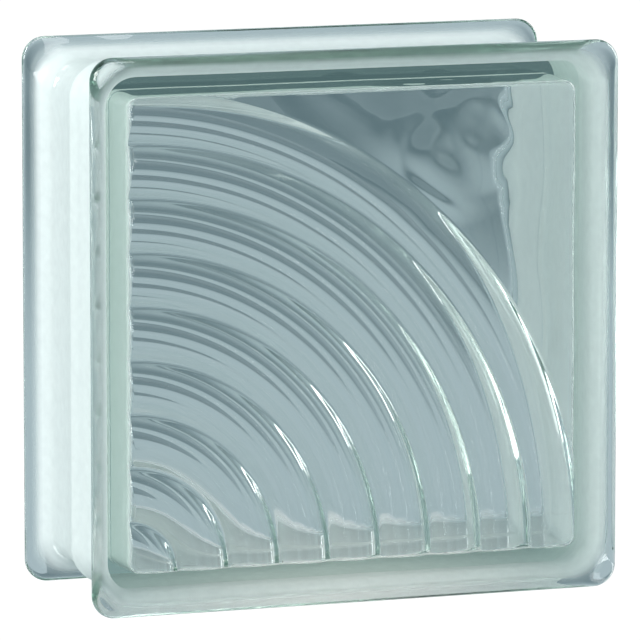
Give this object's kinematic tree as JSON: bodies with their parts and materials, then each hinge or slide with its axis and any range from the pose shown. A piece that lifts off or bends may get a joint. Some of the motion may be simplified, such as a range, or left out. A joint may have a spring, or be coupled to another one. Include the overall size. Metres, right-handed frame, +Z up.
{
  "type": "hollow glass block",
  "caption": "Square hollow glass block for translucent walls, with quarter-round fluted panels and drawn-in sides that key into mortar joints.",
  "frame": {"origin": "under the middle of the block, on the plane that its two lower rims stand on", "axes": "+X along the width, +Y through the block's depth from the front face to the back face, +Z up; the flutes' centre is at the low X, low Z corner"},
  "size_m": [0.19, 0.08, 0.19],
  "materials": {
    "pressed_glass": "clear pressed soda-lime glass with a faint green tint, fire polished; the drawn-in sides carry a thin milky key coat"
  },
  "bodies": {
    "root": {"front_half": "pressed_glass", "back_half": "pressed_glass"}
  },
  "joints": []
}
